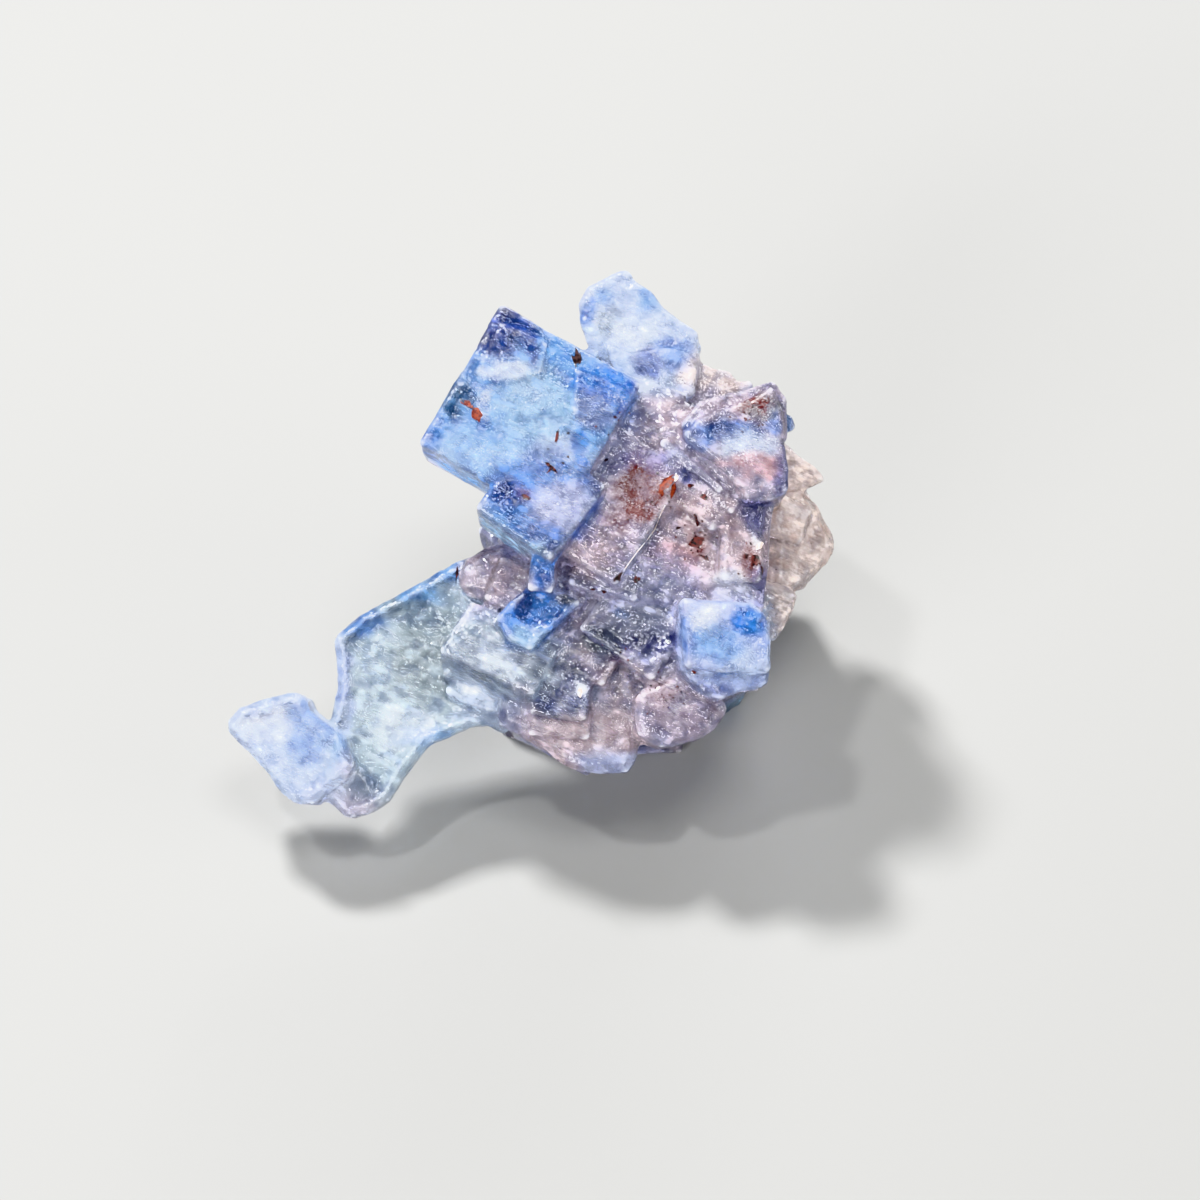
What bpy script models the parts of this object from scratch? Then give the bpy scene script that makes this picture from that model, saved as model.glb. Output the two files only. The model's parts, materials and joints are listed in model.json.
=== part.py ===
"""Fluorite cluster: one grown-together mass of cubic crystals, about 30 mm across, lying on its flat break.

Crystals on the display side are placed as they are seen: x to the right and y up on a plane through
the cluster, and depth towards the viewer. The rest are placed in the upright frame of the cluster.
"""

import math
import random

import bmesh
import bpy
from mathutils import Matrix, Vector

MM = 0.001
NODE = "crystal_cluster"

# The display side is seen from this far above the horizon, and from this far away
VIEW_ELEVATION = 50
VIEW_DISTANCE = 200
# Middle of the display side, in the frame in which the upright crystals are placed
DISPLAY_CENTRE = Vector((3.5, -2.9, 9.0))
# Brings the middle of the cluster's footprint over the origin
CENTRING = Vector((-0.28, 0.86, 0.0))

# Width of the bevel that dulls a crystal's edges, and the angle from which an edge has one
EDGE = 0.15
STEEP = 55
# In-plane turn and lean that the blue and mauve crystals share, because they grew parallel
GROWTH_TURN = -32
GROWTH_LEAN = 12

# Small cubes are set out evenly round the whole mass. Those whose place looks this much towards the
# viewer, or this much down, are left out
SMALL_COUNT = 46
SMALL_SEED = 7
SMALL_SIDES = (2.2, 3.8)
SMALL_TILT = 22
SMALL_MIDDLE = Vector((5.0, 1.2, 8.6))
SMALL_REACH = Vector((5.6, 5.0, 7.4))
ON_DISPLAY = 0.25
UNDERNEATH = -0.75
GOLDEN_ANGLE = 137.5

# Cosine from which a face counts as the front one
FRONT_FACING = 0.99
FLOOR_BLOCK_SIDE = 60

LILAC = (0.55, 0.55, 0.80, 1.0)


def clear_scene():
    for obj in list(bpy.data.objects):
        bpy.data.objects.remove(obj)


def new_collection(name):
    collection = bpy.data.collections.new(name)
    bpy.context.scene.collection.children.link(collection)
    return collection


def crystal_material():
    material = bpy.data.materials.new("fluorite")
    material.use_nodes = True
    shader = material.node_tree.nodes["Principled BSDF"]
    shader.inputs["Base Color"].default_value = LILAC
    shader.inputs["Roughness"].default_value = 0.2
    shader.inputs["Metallic"].default_value = 0.0
    shader.inputs["IOR"].default_value = 1.434
    shader.inputs["Transmission Weight"].default_value = 0.85
    return material


def display_frame():
    """The frame whose x is to the right, y up and z towards the viewer of the display side."""
    tilt = Matrix.Rotation(math.radians(90 - VIEW_ELEVATION), 4, "X")
    return Matrix.Translation((DISPLAY_CENTRE + CENTRING) * MM) @ tilt


def attitude(turn, lean, swing):
    """Turned in its own plane, then leaned so that its face looks up, then swung to the right."""
    return (
        Matrix.Rotation(math.radians(swing), 4, "Y")
        @ Matrix.Rotation(math.radians(-lean), 4, "X")
        @ Matrix.Rotation(math.radians(turn), 4, "Z")
    )


def nearness(depth):
    """How much smaller a crystal is than it looks, because it stands nearer the viewer."""
    return 1 - depth / VIEW_DISTANCE


def keep_as_crystal(obj, edge):
    """Dulls the edges and moves the object among the crystals that are fused into the cluster."""
    bevel = obj.modifiers.new("dulled edges", "BEVEL")
    bevel.width = edge * MM
    bevel.segments = 1
    bevel.limit_method = "ANGLE"
    bevel.angle_limit = math.radians(STEEP)
    obj.hide_render = True
    obj.display_type = "WIRE"
    bpy.data.collections["crystals"].objects.link(obj)
    return obj


def step_face(shape, steps):
    """Growth steps in the front face: each is the width of the flat rim, the width of the slope inside
    it, and how far the slope sinks."""
    front = [face for face in shape.faces if face.normal.z > FRONT_FACING]
    for rim, slope, sink in steps:
        bmesh.ops.inset_region(shape, faces=front, thickness=rim * MM, use_even_offset=True)
        bmesh.ops.inset_region(
            shape, faces=front, thickness=slope * MM, depth=-sink * MM, use_even_offset=True
        )


def cuboid(name, size, waist=0.0, steps=()):
    """A cuboid with its front face on z = 0, its edges drawn in by waist at their middles and its sides
    by twice that."""
    shape = bmesh.new()
    bmesh.ops.create_cube(shape, size=1.0)
    if waist:
        bmesh.ops.subdivide_edges(shape, edges=shape.edges[:], cuts=1, use_grid_fill=True)
    for vertex in shape.verts:
        x, y, z = vertex.co
        sides_met = sum(round(2 * abs(c)) for c in (x, y, z))
        pull = 1 - waist * (3 - sides_met)
        vertex.co = Vector((x * pull * size[0], y * pull * size[1], (z * pull - 0.5) * size[2])) * MM
    shape.normal_update()
    step_face(shape, steps)
    mesh = bpy.data.meshes.new(name)
    shape.to_mesh(mesh)
    shape.free()
    return bpy.data.objects.new(name, mesh)


def seen_block(name, at, size, turn=GROWTH_TURN, lean=GROWTH_LEAN, swing=0, edge=EDGE, **form):
    """A cuboid crystal on the display side: at is the middle of its front face, and size its width,
    height and depth."""
    near = nearness(at[2])
    obj = cuboid(name, (size[0] * near, size[1] * near, size[2]), **form)
    place = Matrix.Translation(Vector((at[0] * near, at[1] * near, at[2])) * MM)
    obj.matrix_world = display_frame() @ place @ attitude(turn, lean, swing)
    return keep_as_crystal(obj, edge)


def outline_solid(name, outline, thickness):
    """A solid with this outline, its front face on z = 0."""
    curve = bpy.data.curves.new(name, "CURVE")
    curve.dimensions = "2D"
    curve.fill_mode = "BOTH"
    curve.extrude = thickness / 2 * MM
    spline = curve.splines.new("POLY")
    spline.points.add(len(outline) - 1)
    spline.use_cyclic_u = True
    for point, (x, y) in zip(spline.points, outline):
        point.co = (x * MM, y * MM, 0, 1)
    drawn = bpy.data.objects.new(name, curve)
    bpy.context.scene.collection.objects.link(drawn)
    mesh = bpy.data.meshes.new_from_object(drawn.evaluated_get(bpy.context.evaluated_depsgraph_get()))
    bpy.data.objects.remove(drawn)
    mesh.transform(Matrix.Translation((0, 0, -thickness / 2 * MM)))
    return mesh


def seen_plate(name, outline, depth, thickness, lean=0, swing=0, edge=EDGE, steps=()):
    """A crystal on the display side whose front face has the outline given, as it is seen."""
    near = nearness(depth)
    middle = Vector((sum(x for x, _ in outline), sum(y for _, y in outline))) / len(outline)
    narrowed = math.cos(math.radians(swing)) / near
    lowered = math.cos(math.radians(lean)) / near
    local = [((x - middle.x) / narrowed, (y - middle.y) / lowered) for x, y in outline]
    mesh = outline_solid(name, local, thickness)
    shape = bmesh.new()
    shape.from_mesh(mesh)
    bmesh.ops.remove_doubles(shape, verts=shape.verts[:], dist=0.01 * MM)
    bmesh.ops.dissolve_limit(
        shape, angle_limit=math.radians(1), verts=shape.verts[:], edges=shape.edges[:]
    )
    bmesh.ops.recalc_face_normals(shape, faces=shape.faces[:])
    step_face(shape, steps)
    shape.to_mesh(mesh)
    shape.free()
    obj = bpy.data.objects.new(name, mesh)
    place = Matrix.Translation(Vector((middle.x * near, middle.y * near, depth)) * MM)
    obj.matrix_world = display_frame() @ place @ attitude(0, lean, swing)
    return keep_as_crystal(obj, edge)


def upright_block(name, at, size, turn=0, lean=0, swing=0, edge=EDGE, **form):
    """A cuboid crystal in the upright frame: at is its middle, and size is along x, y and z."""
    obj = cuboid(name, size, **form)
    obj.data.transform(Matrix.Translation((0, 0, size[2] / 2 * MM)))
    obj.matrix_world = Matrix.Translation((Vector(at) + CENTRING) * MM) @ attitude(turn, lean, swing)
    return keep_as_crystal(obj, edge)


def blue_crystals():
    """The tall blue cube, the one that overlaps its foot, and the small diamond on a neck below."""
    seen_block("tall_blue_cube", (-3.5, 9.35, 6.1), (8.1, 8.2, 5.2), turn=-30, lean=7)
    seen_plate(
        "tall_cube_ledge",
        [(-5.0, 13.9), (-2.6, 12.9), (-2.9, 11.3), (-5.2, 10.9), (-6.3, 11.4)],
        depth=5.98,
        thickness=1.2,
        lean=8,
        swing=-2,
        edge=0.1,
    )
    seen_plate(
        "tall_cube_corner",
        [(-1.2, 11.6), (1.2, 10.7), (0.7, 9.3), (-1.4, 9.4)],
        depth=6.2,
        thickness=1.2,
        lean=8,
        swing=3,
        edge=0.1,
    )
    seen_block("lower_blue_cube", (-2.95, 5.2, 6.7), (4.7, 4.8, 3.8), turn=-36, lean=13)
    seen_block("blue_neck", (-2.85, 1.8, 6.0), (1.35, 2.8, 1.8), turn=-6, waist=0.06)
    seen_plate(
        "blue_diamond",
        [
            (-5.25, -0.85), (-3.6, 0.75), (-2.1, 0.6), (-0.9, -0.1), (-3.45, -2.5), (-4.6, -1.95),
        ],
        depth=5.6,
        thickness=2.6,
        lean=10,
        edge=0.2,
        steps=[(0.3, 0.12, 0.12), (0.22, 0.1, 0.1)],
    )


def arm():
    """The pale skeletal arm on the left, its face sunk between rims, with the frosted cube at its end."""
    seen_plate(
        "arm",
        [
            (-13.4, -1.9), (-12.0, -0.7), (-10.5, 0.05), (-7.2, 1.9), (-5.0, 2.7), (-3.0, -2.0),
            (-3.5, -5.9), (-6.5, -6.35), (-8.6, -7.2), (-9.7, -8.6), (-10.5, -9.95), (-11.3, -10.5),
            (-12.6, -10.95), (-13.9, -9.6), (-13.6, -6.5), (-13.1, -4.3), (-13.2, -2.8),
        ],
        depth=2.0,
        thickness=1.9,
        lean=5,
        edge=0.3,
        steps=[(0.45, 0.35, 0.35)],
    )
    seen_plate(
        "arm_end_cube",
        [
            (-18.9, -6.3), (-18.1, -5.4), (-16.9, -4.95), (-15.75, -4.65), (-14.95, -4.6),
            (-14.5, -5.6), (-13.4, -6.45), (-12.9, -6.5), (-12.35, -8.2), (-12.8, -9.0),
            (-14.4, -10.2), (-15.4, -10.15), (-16.1, -9.5), (-17.5, -7.8),
        ],
        depth=3.2,
        thickness=2.8,
        lean=3,
        swing=-6,
        edge=0.35,
        steps=[(0.5, 0.5, 0.2)],
    )
    seen_plate(
        "arm_end_point",
        [
            (-15.6, -9.2), (-15.0, -10.25), (-14.4, -10.2), (-13.6, -10.15), (-13.0, -10.5),
            (-12.5, -10.9), (-11.2, -9.5), (-12.0, -8.2),
        ],
        depth=2.3,
        thickness=1.8,
        lean=-8,
        edge=0.3,
    )
    seen_plate(
        "arm_root",
        [
            (-7.15, 1.9), (-5.75, 2.75), (-5.0, 3.0), (-3.9, 2.6), (-3.3, 1.6), (-3.6, 0.2),
            (-5.0, 0.0), (-7.1, 0.3),
        ],
        depth=2.9,
        thickness=3.0,
        lean=10,
        swing=-8,
        edge=0.5,
    )
    seen_block("root_step", (-4.2, 0.7, 3.5), (2.6, 2.4, 2.6), turn=-20, lean=8)


def mauve_crystals():
    """The parallel mauve cubes in the middle of the display side."""
    seen_block("mauve_cube", (-0.1, 5.3, 5.1), (6.5, 6.9, 5.0), lean=7)
    seen_block("mauve_foot", (0.4, 1.6, 4.6), (3.6, 2.6, 3.6), turn=-14, lean=16)
    seen_block("violet_cube", (2.3, -0.6, 4.6), (4.6, 5.3, 5.0), turn=-36, lean=10, steps=[(0.5, 0.3, 0.2)])
    seen_block("violet_corner", (-0.4, -1.8, 4.3), (3.6, 3.8, 4.0), turn=-30, lean=14, swing=-8)
    seen_block("neck_backing", (-1.7, 1.2, 4.3), (3.0, 3.0, 3.0), lean=12)
    seen_block("peak_foot", (5.4, 6.9, 4.6), (5.2, 2.8, 5.4), turn=-38, lean=8)
    seen_block("violet_slab", (5.3, 2.7, 4.2), (6.4, 6.2, 6.5), turn=-6, lean=5, swing=4)
    seen_block("slab_ledge", (7.2, 3.2, 4.6), (2.2, 4.6, 3.0), turn=-5, lean=6, swing=14, edge=0.2)
    seen_block("slab_edge", (4.7, 4.9, 4.8), (3.4, 1.2, 2.4), turn=-38, lean=10, edge=0.2)


def thin_sheets():
    """The layers that step down between the tall blue cube and the peaked crystal."""
    for layer in range(4):
        seen_block(
            f"sheet_{layer}",
            (2.7 - 0.15 * layer, 8.55 + 0.62 * layer, 4.3 - 0.3 * layer),
            (4.6 - 0.2 * layer, 1.5, 3.6),
            turn=-12 - 3 * layer,
            lean=24,
            edge=0.15,
        )


def upper_right_crystals():
    """The peaked crystal, and the pale ones that stand up behind it."""
    seen_plate(
        "peaked_crystal",
        [
            (4.1, 8.35), (5.0, 9.2), (6.3, 9.75), (7.6, 10.15), (8.65, 10.8), (9.2, 9.7),
            (9.2, 8.0), (9.5, 6.5), (9.45, 5.35), (8.6, 5.0), (7.2, 5.0), (6.9, 5.6), (5.9, 6.75),
            (4.9, 7.6),
        ],
        depth=5.2,
        thickness=5.5,
        lean=7,
        swing=3,
        edge=0.2,
    )
    seen_plate(
        "peak_roof",
        [
            (4.0, 8.75), (5.0, 9.95), (6.1, 10.3), (7.4, 10.6), (8.75, 11.05), (9.45, 10.15),
            (9.35, 8.0), (6.0, 6.5),
        ],
        depth=4.6,
        thickness=4.5,
        lean=10,
        swing=5,
        edge=0.15,
    )
    for ridge in range(3):
        seen_block(
            f"peak_ridge_{ridge}",
            (4.6 + 0.33 * ridge, 6.7 - 0.28 * ridge, 5.05 - 0.18 * ridge),
            (3.9, 0.42, 2.0),
            turn=-40,
            lean=4,
            edge=0.1,
        )
    seen_block("nub", (9.35, 8.85, 3.4), (0.7, 0.9, 1.2), turn=20, lean=0, edge=0.15)
    seen_plate(
        "pale_spur",
        [
            (1.4, 16.65), (1.65, 16.1), (2.55, 15.5), (3.1, 14.7), (3.85, 14.1),
            (4.8, 13.35), (4.8, 12.6), (5.0, 11.9), (4.5, 10.0), (2.0, 9.9), (0.0, 12.2),
            (-0.65, 12.9), (-1.0, 13.8), (-1.1, 14.9), (-0.65, 15.75), (0.5, 16.4),
        ],
        depth=1.3,
        thickness=3.4,
        lean=8,
        swing=-5,
        edge=0.2,
    )
    seen_plate(
        "spur_foot",
        [
            (0.3, 12.9), (1.6, 12.45), (3.0, 12.75), (4.4, 12.5), (4.9, 11.7), (4.8, 10.3), (3.6, 9.7),
            (1.2, 9.9),
        ],
        depth=2.2,
        thickness=4.0,
        lean=14,
        edge=0.15,
    )
    seen_block("spur_shoulder", (3.6, 12.6, 0.8), (2.4, 2.0, 3.0), turn=-38, lean=4, edge=0.2)
    seen_plate(
        "back_ridge",
        [(3.5, 12.0), (5.0, 11.9), (5.75, 11.6), (6.55, 11.5), (6.75, 11.0), (7.6, 11.0), (8.0, 9.4), (4.0, 9.4)],
        depth=1.6,
        thickness=4.0,
        lean=10,
        edge=0.15,
    )


def lower_crystals():
    """The clear cube at the arm's root, and the crystals that overhang the front foot."""
    seen_block("clear_cube", (-4.95, -2.3, 4.4), (5.3, 3.3, 3.8), turn=-28, lean=28, edge=0.15)
    seen_block("clear_cube_ledge", (-6.0, -4.7, 2.6), (3.4, 1.2, 2.0), turn=-27, lean=30, edge=0.15)
    seen_plate(
        "lavender_foot",
        [
            (-5.0, -6.2), (-3.5, -7.1), (-2.75, -7.5), (-2.0, -8.15), (-1.25, -8.5), (0.0, -8.7),
            (1.4, -8.65), (1.7, -8.25), (1.9, -7.75), (1.9, -6.85), (2.2, -5.0), (1.5, -3.0),
            (-3.0, -3.0), (-5.3, -4.9),
        ],
        depth=4.0,
        thickness=2.4,
        lean=3,
        edge=0.45,
    )
    seen_block("foot_under_left", (-1.7, -5.6, 2.4), (4.4, 3.6, 3.4), turn=-28, lean=14)
    seen_block("foot_under_right", (0.2, -6.4, 2.2), (2.9, 3.2, 3.4), turn=14, lean=-8)
    seen_block("slate_cube", (-1.95, -4.6, 4.75), (2.9, 2.6, 3.0), turn=-8, lean=12, swing=-6, edge=0.15)
    seen_block("slate_step", (-2.0, -5.9, 4.3), (3.1, 2.0, 2.6), turn=-4, lean=6, swing=-4, edge=0.15)
    seen_plate(
        "rusty_cube",
        [
            (1.9, -4.5), (3.0, -4.1), (4.3, -3.6), (6.1, -5.0), (6.55, -5.1), (6.25, -5.75),
            (5.75, -6.4), (5.0, -6.9), (4.0, -7.2), (3.1, -7.35), (2.5, -7.15), (1.9, -6.7), (1.75, -5.7),
        ],
        depth=5.0,
        thickness=2.4,
        lean=6,
        swing=6,
        edge=0.3,
    )
    seen_block("rusty_cube_back", (3.8, -5.2, 3.4), (3.0, 2.8, 3.6), turn=30, lean=6)
    seen_block("hollow_cube", (3.5, -3.2, 4.5), (2.8, 2.8, 3.0), turn=-30, lean=12)
    seen_plate(
        "lower_right_cube",
        [
            (4.1, 0.15), (5.0, 0.1), (7.7, -0.1), (8.4, -0.85), (8.6, -1.9), (8.5, -3.6), (6.2, -3.55),
            (4.2, -3.4),
        ],
        depth=6.4,
        thickness=3.4,
        lean=10,
        swing=8,
        edge=0.2,
    )
    seen_plate(
        "lower_right_skirt",
        [
            (4.2, -1.0), (8.5, -1.0), (8.6, -2.9), (8.4, -4.35), (7.1, -4.65), (6.05, -5.1),
            (5.1, -4.7), (4.3, -3.9),
        ],
        depth=5.95,
        thickness=3.0,
        lean=-4,
        swing=8,
        edge=0.2,
    )


def right_side_crystals():
    """The colourless, faintly pink crystals that stand behind the right edge."""
    seen_plate(
        "pink_point",
        [(8.8, 8.2), (9.4, 7.75), (10.0, 7.2), (10.8, 6.65), (11.35, 5.95), (10.3, 5.5), (8.8, 4.8)],
        depth=-1.2,
        thickness=2.6,
        swing=8,
        edge=0.2,
    )
    seen_plate(
        "pink_lump",
        [
            (8.6, 5.0), (9.75, 5.4), (10.35, 5.5), (11.1, 4.8), (11.45, 4.0), (11.85, 3.2), (11.9, 2.6),
            (11.6, 1.9), (10.8, 1.1), (10.0, 0.2), (8.4, 0.6),
        ],
        depth=-0.4,
        thickness=3.2,
        lean=2,
        swing=16,
        edge=0.55,
    )
    seen_block("pink_lump_back", (9.8, 3.2, -2.6), (3.2, 3.4, 3.0), turn=28, lean=-6, swing=20)
    seen_block("pink_lump_step", (9.6, 4.0, 0.4), (2.2, 2.2, 2.4), turn=-22, lean=2, swing=22, edge=0.3)
    seen_plate(
        "pink_foot",
        [(7.8, 1.2), (9.9, 0.5), (9.95, 0.2), (9.75, -0.6), (9.25, -1.5), (8.7, -2.3), (7.4, -1.6)],
        depth=0.6,
        thickness=5.0,
        swing=12,
        edge=0.45,
    )


def core():
    """The mass that the crystals grew from, broken off flat underneath."""
    upright_block("core_low", (4.0, 0.4, 3.2), (8.2, 8.0, 8.6), turn=25, lean=14, swing=-12, edge=0.5)
    upright_block("core_middle", (6.3, -0.4, 7.4), (9.4, 8.6, 8.4), turn=8, lean=12, edge=0.5)
    upright_block("core_top", (4.6, 0.9, 12.2), (8.0, 6.6, 7.0), turn=-20, lean=20, edge=0.5)
    upright_block("core_back", (5.0, 3.0, 9.4), (6.2, 4.4, 12.2), turn=6, edge=0.5)


def foot_crystals():
    """The cubes round the break, which are cut off with it."""
    upright_block("foot_cube_a", (0.3, -3.2, 1.4), (3.4, 3.2, 3.8), turn=-22, lean=14, swing=-10)
    upright_block("foot_cube_b", (5.8, -4.0, 1.6), (3.6, 3.2, 3.6), turn=12, lean=20, swing=6)
    upright_block("foot_cube_c", (9.0, -2.0, 2.0), (3.4, 3.6, 3.4), turn=38, lean=-6, swing=16)
    upright_block("foot_cube_d", (-0.4, 2.8, 1.8), (3.0, 3.4, 3.8), turn=50, lean=-12, swing=-16)


def back_crystals():
    """The cubes on the side away from the viewer."""
    upright_block("back_cube_a", (0.6, 3.4, 13.6), (4.6, 4.4, 4.6), turn=18, lean=24, swing=10)
    upright_block("back_cube_b", (5.2, 5.2, 8.8), (5.4, 5.0, 5.2), turn=-24, lean=12, swing=-8)
    upright_block("back_cube_c", (9.0, 3.8, 11.4), (4.4, 4.4, 4.2), turn=40, lean=-10, swing=12)
    upright_block("back_cube_d", (10.2, 3.0, 4.6), (4.2, 4.6, 4.4), turn=12, lean=18, swing=20)
    upright_block("back_cube_e", (5.6, 6.8, 3.4), (4.2, 4.0, 4.2), turn=-14, lean=30, swing=6)
    upright_block("back_cube_f", (1.0, 4.4, 6.6), (4.4, 4.2, 4.4), turn=52, lean=8, swing=-14)
    upright_block("back_cube_g", (-0.8, 0.4, 3.4), (3.8, 3.8, 4.0), turn=20, lean=-16, swing=-22)
    upright_block("tall_back_a", (-0.3, 4.4, 16.4), (3.4, 3.2, 3.4), turn=24, lean=14, swing=-12)
    upright_block("tall_back_b", (1.9, 4.4, 17.2), (2.6, 2.8, 2.8), turn=-8, lean=34, swing=8)


def small_crystals():
    """The small cubes that stud the side away from the viewer, spread evenly round the mass."""
    chance = random.Random(SMALL_SEED)
    elevation = math.radians(VIEW_ELEVATION)
    towards_viewer = Vector((0, -math.cos(elevation), math.sin(elevation)))
    for index in range(SMALL_COUNT):
        height = 1 - 2 * (index + 0.5) / SMALL_COUNT
        round_it = math.radians(GOLDEN_ANGLE) * index
        ring = math.sqrt(1 - height**2)
        way = Vector((ring * math.cos(round_it), ring * math.sin(round_it), height))
        side = chance.uniform(*SMALL_SIDES)
        tilts = [chance.uniform(-SMALL_TILT, SMALL_TILT) for _ in range(3)]
        if way.dot(towards_viewer) > ON_DISPLAY or way.z < UNDERNEATH:
            continue
        at = SMALL_MIDDLE + Vector(w * r for w, r in zip(way, SMALL_REACH))
        size = [side * chance.uniform(0.8, 1.2) for _ in range(3)]
        upright_block(f"small_cube_{index}", at, size, turn=20 + tilts[0], lean=tilts[1], swing=tilts[2])


def floor_block():
    """What the break is flush with: everything below z = 0 is cut away."""
    side = FLOOR_BLOCK_SIDE * MM
    mesh = bpy.data.meshes.new("floor_block")
    shape = bmesh.new()
    bmesh.ops.create_cube(shape, size=side)
    bmesh.ops.translate(shape, verts=shape.verts[:], vec=(0, 0, -side / 2))
    shape.to_mesh(mesh)
    shape.free()
    obj = bpy.data.objects.new("floor_block", mesh)
    obj.hide_render = True
    obj.display_type = "WIRE"
    bpy.data.collections["cutters"].objects.link(obj)
    return obj


def fuse(seed):
    """One solid: the seed crystal joined with every other crystal, then cut off at the floor."""
    cluster = bpy.data.objects.new(NODE, seed.data.copy())
    cluster.matrix_world = seed.matrix_world
    cluster.data.materials.append(crystal_material())
    bpy.data.collections["fluorite_cluster"].objects.link(cluster)
    join = cluster.modifiers.new("grown together", "BOOLEAN")
    join.operation = "UNION"
    join.operand_type = "COLLECTION"
    join.collection = bpy.data.collections["crystals"]
    cut = cluster.modifiers.new("flat break", "BOOLEAN")
    cut.operation = "DIFFERENCE"
    cut.object = floor_block()
    return cluster


def main():
    clear_scene()
    for name in ("fluorite_cluster", "crystals", "cutters"):
        new_collection(name)
    blue_crystals()
    arm()
    mauve_crystals()
    thin_sheets()
    upper_right_crystals()
    lower_crystals()
    right_side_crystals()
    core()
    foot_crystals()
    back_crystals()
    small_crystals()
    fuse(bpy.data.objects["core_middle"])


main()
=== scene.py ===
"""Looks of the fluorite cluster: etched, see-through crystals zoned blue, mauve and colourless."""

import json
import math
import random

import bpy
import numpy as np
from mathutils import Color, Matrix, Vector, noise

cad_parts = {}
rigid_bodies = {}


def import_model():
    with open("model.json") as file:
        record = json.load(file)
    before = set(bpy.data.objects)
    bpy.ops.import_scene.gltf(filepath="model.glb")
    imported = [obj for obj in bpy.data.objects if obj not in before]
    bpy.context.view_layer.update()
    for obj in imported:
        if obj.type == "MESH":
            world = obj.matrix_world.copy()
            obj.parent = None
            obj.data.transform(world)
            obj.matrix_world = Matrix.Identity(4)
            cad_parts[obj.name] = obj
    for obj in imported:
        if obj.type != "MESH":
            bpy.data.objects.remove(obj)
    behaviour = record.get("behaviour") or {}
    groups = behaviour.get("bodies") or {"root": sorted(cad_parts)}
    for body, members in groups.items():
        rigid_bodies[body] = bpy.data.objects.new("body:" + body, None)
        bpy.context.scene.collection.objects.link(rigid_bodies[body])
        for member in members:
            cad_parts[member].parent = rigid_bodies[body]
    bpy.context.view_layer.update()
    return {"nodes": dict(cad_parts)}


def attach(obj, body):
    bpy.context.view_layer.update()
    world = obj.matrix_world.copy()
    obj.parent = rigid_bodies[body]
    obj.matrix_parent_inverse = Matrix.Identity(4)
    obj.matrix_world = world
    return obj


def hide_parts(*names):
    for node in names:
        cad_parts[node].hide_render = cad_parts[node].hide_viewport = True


MM = 0.001

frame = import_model()

# The display side is seen from this many degrees above the horizon and from this far away, in a
# picture that is this wide at the cluster
VIEW_ELEVATION = 50
VIEW_DISTANCE = 200 * MM
DISPLAY_CENTRE = Vector((3.22, -2.04, 9.0)) * MM
PICTURE_WIDTH = 60 * MM

# In-plane turn and lean of the parallel crystals, in degrees
GROWTH_TURN = -32
GROWTH_LEAN = 12

# The crystals' mesh: how near corners are welded, how fine it is, the fillets where crystals meet,
# how much it is evened, the most triangles it may have, and the angle between faces, in degrees,
# from which an edge is shaded sharp
WELD_DISTANCE = 0.001 * MM
VOXEL = 0.09 * MM
FILLET = 0.08 * MM
EVENING = 0.5
MOST_TRIANGLES = 190_000
SHARP_ANGLE = 28

# All that lies lower than this is flattened onto the break
BREAK_DEPTH = 0.1 * MM

# The relief on the faces: how large its forms are and how high they stand
SWELL_SIZE = 3.0 * MM
SWELL_HEIGHT = 0.16 * MM
SWELL_LEVEL = 0.4
DIMPLE_SIZE = 0.9 * MM
DIMPLE_HEIGHT = 0.08 * MM
GROWTH_STEP_SIZE = 2.6 * MM
GROWTH_STEP_HEIGHT = 0.10 * MM
GROWTH_STEPS = 4
ETCH_PIT_SIZE = 0.7 * MM
ETCH_PIT_HEIGHT = 0.03 * MM
ETCH_PIT_STEPS = 3
RISER_SHARE = 0.12

# How far a vertex on an edge stands out from its neighbours, in mm, and the share of that at which
# an edge begins to show its painted highlight
EDGE_STANDOUT = 0.008
EDGE_HIGHLIGHT_START = 0.2


def srgb(red, green, blue):
    """A colour with parts from 0 to 255, as the linear colour that a shader takes."""
    return tuple(Color((red / 255, green / 255, blue / 255)).from_srgb_to_scene_linear())


# Tints of the crystals and of what lies in them. HOLLOW_SHADE is the blue-grey of painted shade in the
# ripples' hollows, and WHITE also serves for painted glints, sheen and highlights
HOLLOW_SHADE = srgb(124, 144, 184)
NAVY = srgb(10, 46, 124)
DEEP_BLUE = srgb(16, 60, 140)
ROYAL = srgb(60, 104, 196)
BRIGHT_BLUE = srgb(44, 124, 206)
MID_BLUE = srgb(54, 114, 186)
SKY = srgb(98, 150, 204)
PALE_BLUE = srgb(150, 182, 208)
ICE = srgb(192, 204, 222)
WHITE = srgb(240, 243, 246)
TEAL = srgb(40, 84, 120)
SLATE = srgb(72, 88, 122)
VIOLET_BLUE = srgb(84, 90, 150)
LAVENDER = srgb(172, 184, 216)
LILAC = srgb(172, 174, 200)
MAUVE = srgb(180, 165, 175)
PINK_MAUVE = srgb(186, 166, 169)
ROSE = srgb(180, 128, 128)
PINK_CREAM = srgb(214, 196, 184)
CLEAR = srgb(184, 198, 206)
SMOKE = srgb(120, 130, 134)
RUST = srgb(66, 20, 20)
ORANGE = srgb(104, 38, 10)
RED_BROWN = srgb(70, 22, 18)
DARK_BROWN = srgb(44, 20, 18)
BLACK_BROWN = srgb(20, 12, 13)


def deselect():
    """Leaves nothing selected."""
    for obj in bpy.context.selected_objects:
        obj.select_set(False)


def choose(obj):
    """Selects this object alone and makes it the active one."""
    deselect()
    obj.select_set(True)
    bpy.context.view_layer.objects.active = obj


def display_matrix():
    """The place and tilt of the display side: right, up and towards the viewer."""
    tilt = Matrix.Rotation(math.radians(90 - VIEW_ELEVATION), 4, "X")
    return Matrix.Translation(DISPLAY_CENTRE) @ tilt


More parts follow.
